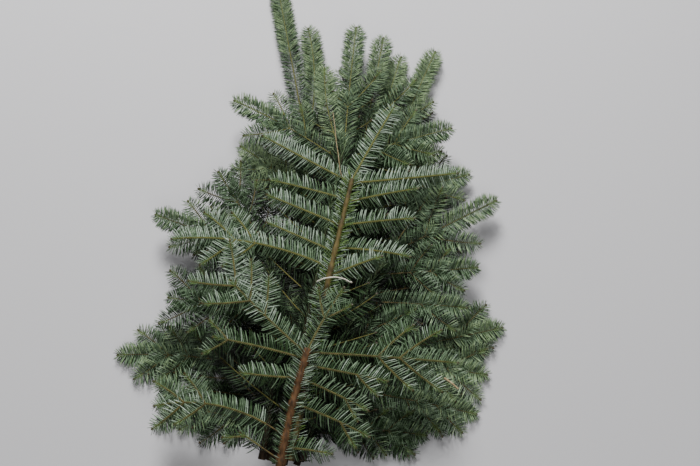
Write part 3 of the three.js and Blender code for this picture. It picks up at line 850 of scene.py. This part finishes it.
stem = {
    "step": 2.5,
    "sides": 16,
    "relief": 1.1,
    "reliefLength": 4.5,
    "swelling": 0.22,      # how much thicker a limb is where a shoot leaves it
    "swellingLength": 7,
    "frontShare": 0.96,    # a front limb's radius, as a share of its solid's
    "bareShare": 0.02,     # no needles this near to the cut
    "cutSize": 0.72,       # how long the first needles are, as a share of the last
    "cutKeep": 0.5,        # and how many of them there are
}


# The limb's own wood, swollen where shoots leave it
def limbWood(each):
    limb, bough = each["limb"], each["bough"]
    steps = math.ceil(limb.length / stem["step"])
    thick, thin = bough["radius"]
    joints = [row[1] * limb.length for row in bough["sprays"]]
    share = stem["frontShare"] if bough["layer"] >= heap["frontLayer"] else 1
    points, radii = [], []
    for step in range(steps + 1):
        along = limb.length * step / steps
        swell = sum(math.exp(-((along - joint) / stem["swellingLength"]) ** 2) for joint in joints)
        radius = (thick + (thin - thick) * step / steps) * share * (1 + stem["swelling"] * min(swell, 1))
        points.append(limb.pointAt(along) * mm + each["shift"])
        radii.append(radius * mm)
    return {"points": points, "values": {"thickness": radii}}


# Needles along a limb, shorter and fewer near the cut
def limbNeedles(each):
    limb, bough = each["limb"], each["bough"]
    way = standing["limb" if limb.layer >= heap["frontLayer"] else "hidden"]
    line = shootLine(limb, each["shift"], way, wood.get(bough["name"], sideWood)["tone"])
    thick, thin = bough["radius"]
    count = len(line["points"])
    for step in range(count):
        share = step / (count - 1)
        line["values"]["thickness"][step] = (thick + (thin - thick) * share) * stem["frontShare"] * mm
        line["values"]["size"][step] = way["size"] * (stem["cutSize"] + (1 - stem["cutSize"]) * share)
        line["values"]["keep"][step] = way["keep"] * (stem["cutKeep"] + (1 - stem["cutKeep"]) * share)
    bare = math.ceil(count * stem["bareShare"])
    line["points"] = line["points"][bare:]
    for key, column in line["values"].items():
        line["values"][key] = column[bare:]
    return line


# Boughs painted darker than the rest, by this much tone: painted shade on the boughs that turn away from
# the light or lie low in the bunch
paintedShadeByBough = {
    "front_lower": 0.7,
    "left_upper": 1.0,
    "right_upper": 0.6,
    "right_lower": 0.4,
    "left_lower": 0.3,
}
# The wood of each bough and its twigs, and the tone of the needles along its limb
crownWood = {"limb": olderBarkPaintedShade, "twigs": youngBark, "tone": 0.5}
wood = {
    "front_lower": {"limb": limbBark, "twigs": youngLimbBark, "tone": 0.2},
    "front_upper": {"limb": youngLimbBark, "twigs": youngBark, "tone": -2.8},
    "crown_left": crownWood,
    "crown_right": crownWood,
    "crown_middle": crownWood,
    "crown_back": crownWood,
}
sideWood = {"limb": olderBarkPaintedShade, "twigs": youngLimbBark, "tone": 0.5}      # all the others
needlesOnTwigs = needleTree()
woodAlongLines = woodTree()
budsAtTips = budTree()


# Wood along lines, with the sides and the relief that a dictionary gives
def makeWood(name, lines, rule, bark, cut):
    piece = lineMesh(name, lines)
    runTree(piece, woodAlongLines, {
        "Sides": rule["sides"], "Relief": rule["relief"] * mm,
        "Relief length": rule["reliefLength"] * mm, "Bark": bark, "Cut": cut})
    return piece


# The lines of a bough's twigs, more lines for the needles at their ends, and each spray's tone
def twigLines(each, kind, number):
    name, shift = each["bough"]["name"], each["shift"]
    hang = ranks[kind]["hang"]
    fillingWay = standing["lowFilling" if name in filling["further"] else "filling"]
    dice = Dice(seeds["looks"] * (number + 1))
    tones, lines, extra = {}, [], []
    for one in each["shoots"]:
        axis, spray = one["axis"], one["spray"]
        isMain, isFilling = one["rank"] == 0, spray == "filling"
        way = fillingWay if isFilling else standing[kind]
        if spray not in tones:
            tones[spray] = way["tone"] + paintedShadeByBough.get(name, 0) + dice.spread(shades["spread"])
        line = shootLine(axis, shift, way, tones[spray], 0, hang)
        if isMain and spray in bareShare:
            bare = math.ceil(len(line["points"]) * bareShare[spray])
            line["values"]["keep"][:bare] = [0.0] * bare
        lines.append(line)
        if isMain and kind == "brush":
            start = axis.length * (1 - twig["outerShare"])
            extra.append(shootLine(axis, shift, way, tones[spray], start, hang))
        # Tufts on filling twigs keep the filling's darker tone, partly painted shade
        tone = way["tone"] if isFilling else standing["tuft"]["tone"]
        for length in twig["tufts"][:1 if isFilling else 2]:
            extra.append(shootLine(axis, shift, standing["tuft"], tone, axis.length - length))
    return lines, extra, tones


# The four pieces of a bough: its needles, its twigs, its buds and its limb
def dressBough(each, number):
    bough = each["bough"]
    words = bough["name"].split("_")
    name = words[0] + words[1].title()
    kind = "front" if bough["layer"] >= heap["frontLayer"] else "brush"
    kinds = wood.get(bough["name"], sideWood)
    lines, extra, tones = twigLines(each, kind, number)
    needles = lineMesh(name + "Needles", lines + extra + [limbNeedles(each)])
    runTree(needles, needlesOnTwigs, {
        "Spacing": ranks[kind]["spacing"] * mm, "Ranks": float(ranks[kind]["count"]),
        "Depth": ranks[kind]["depth"], "Seed": number,
        "Right needle": needleShapes[kind][0], "Left needle": needleShapes[kind][1],
        "Bloom": bloomNeedle if kind == "front" else sheenNeedle, "Grey": greyNeedle, "Green": greenNeedle,
        "Old": oldNeedlePaintedShade, "Fresh": freshNeedle, "Foot": needleFoot})
    twigs = makeWood(name + "Twigs", lines, twig, kinds["twigs"], kinds["twigs"])
    buds = lineMesh(name + "Buds", lines)
    runTree(buds, budsAtTips, {"Bud": budCluster, "Scale": budResin})
    limb = makeWood(name + "Stem", [limbWood(each)], stem, kinds["limb"], cutWood)
    sprays = [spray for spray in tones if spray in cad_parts]
    needleSlot = "front_needles" if kind == "front" else "back_needles"
    for piece, slot, nodes in ((needles, needleSlot, sprays), (twigs, "bark", ()), (buds, "bark", ()),
                               (limb, "bark", (f"{bough['name']}_stem",))):
        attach(piece, "root")
        if nodes:
            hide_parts(*nodes)
    return len(needles.data.polygons)


faces = [dressBough(each, number) for number, each in enumerate(grown)]
print("boughs: needle faces", faces, sum(faces))

# The twine goes round the five stems that lie together, and hangs slack over the front one
tie = {
    "y": -91,              # where along the rule's boughs it goes round
    "stems": ("front_upper", "crown_middle", "crown_back", "crown_right", "crown_left"),
    "stepsRound": 20,
    "gap": 0.3,
    "lowPart": 60,         # up to this height it lies tight, and from there it passes these points
    "slack": ((11, -146, 66), (13, -153, 84), (14.5, -154.5, 98), (18, -154.8, 108),
              (27.5, -151.6, 111.5), (44.5, -149.9, 112), (60, -152.8, 110.5), (70, -157.5, 105.5),
              (73, -156, 94), (70, -147, 66)),
    "strands": 3,
    "strandRadius": 0.62,
    "strandOffset": 0.68,
    "pitch": 9,
    "sides": 6,
    "coarse": 5,           # the loop is drawn through points this far apart, and smoothed to these
    "fine": 1.2,
}


# Half of the tightest outline round the points, seen along the boughs
def outerSide(points):
    chain = []
    for point in points:
        while len(chain) > 1 and (
                (chain[-1][0] - chain[-2][0]) * (point[1] - chain[-2][1])
                - (chain[-1][1] - chain[-2][1]) * (point[0] - chain[-2][0])) <= 0:
            chain.pop()
        chain.append(point)
    return chain[:-1]


# The tight part of the loop, from the tightest outline round all the stems
def lowLoop():
    around, depth = [], 0
    for each in grown:
        bough, limb = each["bough"], each["limb"]
        if bough["name"] in tie["stems"]:
            along = next(step for step in range(limb.length) if limb.planAt(step)[1] >= tie["y"])
            centre = limb.pointAt(along) + each["shift"] / mm
            thick, thin = bough["radius"]
            radius = thick + (thin - thick) * along / limb.length + tie["gap"] + tie["strandRadius"] * 2
            for step in range(tie["stepsRound"]):
                angle = 2 * math.pi * step / tie["stepsRound"]
                around.append((centre.x + radius * math.cos(angle), centre.z + radius * math.sin(angle)))
            depth = centre.y
    around.sort()
    corners = outerSide(around) + outerSide(around[::-1])
    low = [corner for corner in corners if corner[1] < tie["lowPart"]]
    middle = sum(x for x, z in low) / len(low)
    low = sorted(low, key=lambda corner: -math.atan2(corner[1] - tie["lowPart"], corner[0] - middle))
    return [(x, depth, z) for x, z in low]


# Strands twisted about each other along each line
def twineTree():
    tree, given = newTree("strandsTwisted", {
        "Strands": "Int", "Coarse": "Float", "Fine": "Float", "Pitch": "Float", "Offset": "Float",
        "Radius": "Float", "Sides": "Int", "Fibre": "Material"})
    curves = addNode(tree, "GeometryNodeMeshToCurve", {}, {"Mesh": given["Geometry"]})
    coarse = addNode(tree, "GeometryNodeResampleCurve", {"mode": "LENGTH"}, {
        "Curve": curves, "Length": given["Coarse"]})
    rounded = addNode(tree, "GeometryNodeCurveSplineType", {"spline_type": "CATMULL_ROM"}, {
        "Curve": coarse})
    fine = addNode(tree, "GeometryNodeResampleCurve", {"mode": "LENGTH"}, {
        "Curve": rounded, "Length": given["Fine"]})
    copies = addNode(tree, "GeometryNodeDuplicateElements", {"domain": "SPLINE"}, {
        "Geometry": fine, "Amount": given["Strands"]})
    turns = addNode(tree, "ShaderNodeMath", {"operation": "DIVIDE"}, {
        0: addNode(tree, "GeometryNodeSplineParameter").outputs["Length"], 1: given["Pitch"]})
    apart = addNode(tree, "ShaderNodeMath", {"operation": "DIVIDE"}, {
        0: copies.outputs["Duplicate Index"], 1: given["Strands"]})
    both = addNode(tree, "ShaderNodeMath", {"operation": "ADD"}, {0: turns, 1: apart})
    angle = addNode(tree, "ShaderNodeMath", {"operation": "MULTIPLY"}, {0: both, 1: 2 * math.pi})
    out = addNode(tree, "ShaderNodeVectorRotate", {}, {
        "Vector": addNode(tree, "GeometryNodeInputNormal"),
        "Axis": addNode(tree, "GeometryNodeInputTangent"), "Angle": angle})
    step = addNode(tree, "ShaderNodeVectorMath", {"operation": "SCALE"}, {0: out, "Scale": given["Offset"]})
    twisted = addNode(tree, "GeometryNodeSetPosition", {}, {"Geometry": copies, "Offset": step})
    section = addNode(tree, "GeometryNodeCurvePrimitiveCircle", {"mode": "RADIUS"}, {
        "Resolution": given["Sides"], "Radius": given["Radius"]})
    tube = addNode(tree, "GeometryNodeCurveToMesh", {}, {
        "Curve": twisted, "Profile Curve": section, "Fill Caps": True})
    real = addNode(tree, "GeometryNodeRealizeInstances", {}, {0: tube})
    painted = addNode(tree, "GeometryNodeSetMaterial", {}, {0: real, "Material": given["Fibre"]})
    addNode(tree, "NodeGroupOutput", {}, {0: painted})
    return tree


loop = lowLoop() + list(tie["slack"])
loopLength = sum((Vector(here) - Vector(before)).length
                 for here, before in zip(loop, loop[-1:] + loop[:-1]))
twine = lineMesh("twine", [
    {"points": [Vector(point) * mm for point in loop], "values": {}, "closed": True}])
runTree(twine, twineTree(), {
    "Strands": tie["strands"], "Coarse": tie["coarse"] * mm, "Fine": tie["fine"] * mm,
    "Pitch": loopLength / round(loopLength / tie["pitch"]) * mm, "Offset": tie["strandOffset"] * mm,
    "Radius": tie["strandRadius"] * mm, "Sides": tie["sides"], "Fibre": twineFibre})
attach(twine, "root")
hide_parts("string_tie")
print("twine:", len(twine.data.polygons), "faces,", round(loopLength), "mm round")

# A dry stalk that stands on the fork of the upper front bough, and a broken straw-coloured stub
# that has dropped onto the needles at the right
dry = {
    "stalk": ((56, 33, 92), (52, 47, 101), (49, 75, 105), (45.5, 96, 107), (43, 125, 108),
              (39.3, 153, 108)),
    "stalkRadii": (0.9, 0.5),
    "stub": ((226.6, -317.1, 92), (238, -325, 93), (249.3, -335.2, 92)),
    "stubRadii": (1.8, 1.5),
    "sides": 6,
    "relief": 0.3,
    "reliefLength": 3,
}
dryLines = []
for points, (thick, thin) in ((dry["stalk"], dry["stalkRadii"]), (dry["stub"], dry["stubRadii"])):
    radii = [(thick + (thin - thick) * step / (len(points) - 1)) * mm for step in range(len(points))]
    dryLines.append({"points": [Vector(point) * mm for point in points], "values": {"thickness": radii}})
dryBits = makeWood("dryBits", dryLines, dry, dryWood, dryWood)
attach(dryBits, "root")

made = [piece for piece in bpy.context.scene.objects if piece.type == "MESH"]
print("triangles:", sum(len(piece.data.loops) - 2 * len(piece.data.polygons) for piece in made
                        if piece.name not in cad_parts))

# A plain pale floor, one large soft light behind the tips and a weak one on the butt side, in
# metres: name, place, size, power
room = {
    "floorReach": 4,
    "floorColour": "c6c5c7",
    "floorRoughness": 0.9,
    "worldColour": (0.9, 0.95, 1.0, 1),
    "worldStrength": 0.05,
    "lamps": (("topSoftbox", (-0.3, 2.7, 2.3), 1.4, 262), ("frontSoftbox", (0.5, -1.8, 2.6), 1.8, 26)),
}
floorMesh = bpy.data.meshes.new("floor")
floorCorners = [(x * room["floorReach"], y * room["floorReach"], 0) for x, y in (
    (-1, -1), (1, -1), (1, 1), (-1, 1))]
floorMesh.from_pydata(floorCorners, [], [(0, 1, 2, 3)])
floor = bpy.data.objects.new("floor", floorMesh)
bpy.context.collection.objects.link(floor)
floorPaint = bpy.data.materials.new("mattPaperGrey")
floorPaint.use_nodes = True
floorShader = floorPaint.node_tree.nodes["Principled BSDF"]
floorShader.inputs["Base Color"].default_value = linear(room["floorColour"])
floorShader.inputs["Roughness"].default_value = room["floorRoughness"]
floorMesh.materials.append(floorPaint)

world = bpy.data.worlds.new("softRoom")
world.use_nodes = True
background = world.node_tree.nodes["Background"]
background.inputs["Color"].default_value = room["worldColour"]
background.inputs["Strength"].default_value = room["worldStrength"]
bpy.context.scene.world = world
for name, place, size, power in room["lamps"]:
    lamp = bpy.data.lights.new(name, "AREA")
    lamp.shape = "DISK"
    lamp.size = size
    lamp.energy = power
    holder = bpy.data.objects.new(name, lamp)
    holder.location = place
    holder.rotation_euler = (-Vector(place)).to_track_quat("-Z", "Y").to_euler()
    bpy.context.collection.objects.link(holder)

# The camera looks down on the bunch from the butt side. Its focal length is in the image's pixels
view = {
    "aim": (69.9, -64.1, 80),
    "distance": 1409,
    "elevation": 75,
    "imageFocus": 800,
    "imageWidth": 700,
    "sensor": 36,
}
cameraData = bpy.data.cameras.new("camera")
cameraData.sensor_width = view["sensor"]
cameraData.lens = view["imageFocus"] / view["imageWidth"] * cameraData.sensor_width
camera = bpy.data.objects.new("camera", cameraData)
tilt = math.radians(view["elevation"])
aim = Vector(view["aim"]) * mm
camera.location = aim + Vector((0, -math.cos(tilt), math.sin(tilt))) * view["distance"] * mm
camera.rotation_euler = (aim - camera.location).to_track_quat("-Z", "Y").to_euler()
bpy.context.collection.objects.link(camera)
bpy.context.scene.camera = camera
